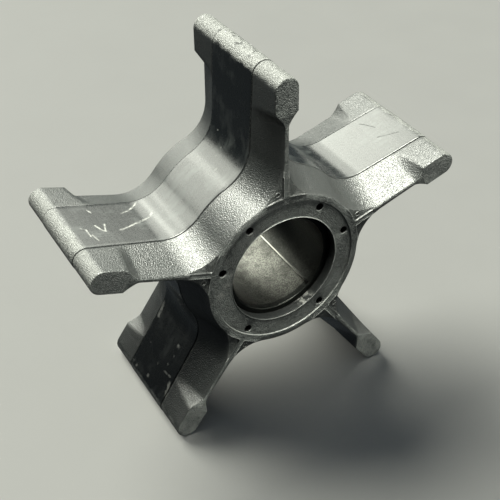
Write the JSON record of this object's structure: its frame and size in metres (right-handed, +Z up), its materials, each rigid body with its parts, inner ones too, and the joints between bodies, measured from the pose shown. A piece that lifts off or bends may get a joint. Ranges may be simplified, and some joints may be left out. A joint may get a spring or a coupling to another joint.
{
  "type": "outboard water pump impeller",
  "caption": "Flexible rubber impeller with beaded radial vanes around a hub with a metal sleeve in its bore, for an engine's cooling water pump.",
  "frame": {"origin": "on the surface that the two lower vane tips stand on, under the axis and midway between the two faces", "axes": "+Z up through the top vane, +Y along the shaft axis from the front face to the back face, +X to the right seen from the front"},
  "size_m": [0.063, 0.0244, 0.0601],
  "materials": {
    "rubber": "moulded black rubber, satin on the pads, fine grained on the side bands, chalky where the tips are worn",
    "sleeve_metal": "dull stained metal with fine speckle"
  },
  "bodies": {
    "root": {"rubber_impeller_body": "rubber", "hub_sleeve": "sleeve_metal"}
  },
  "joints": []
}
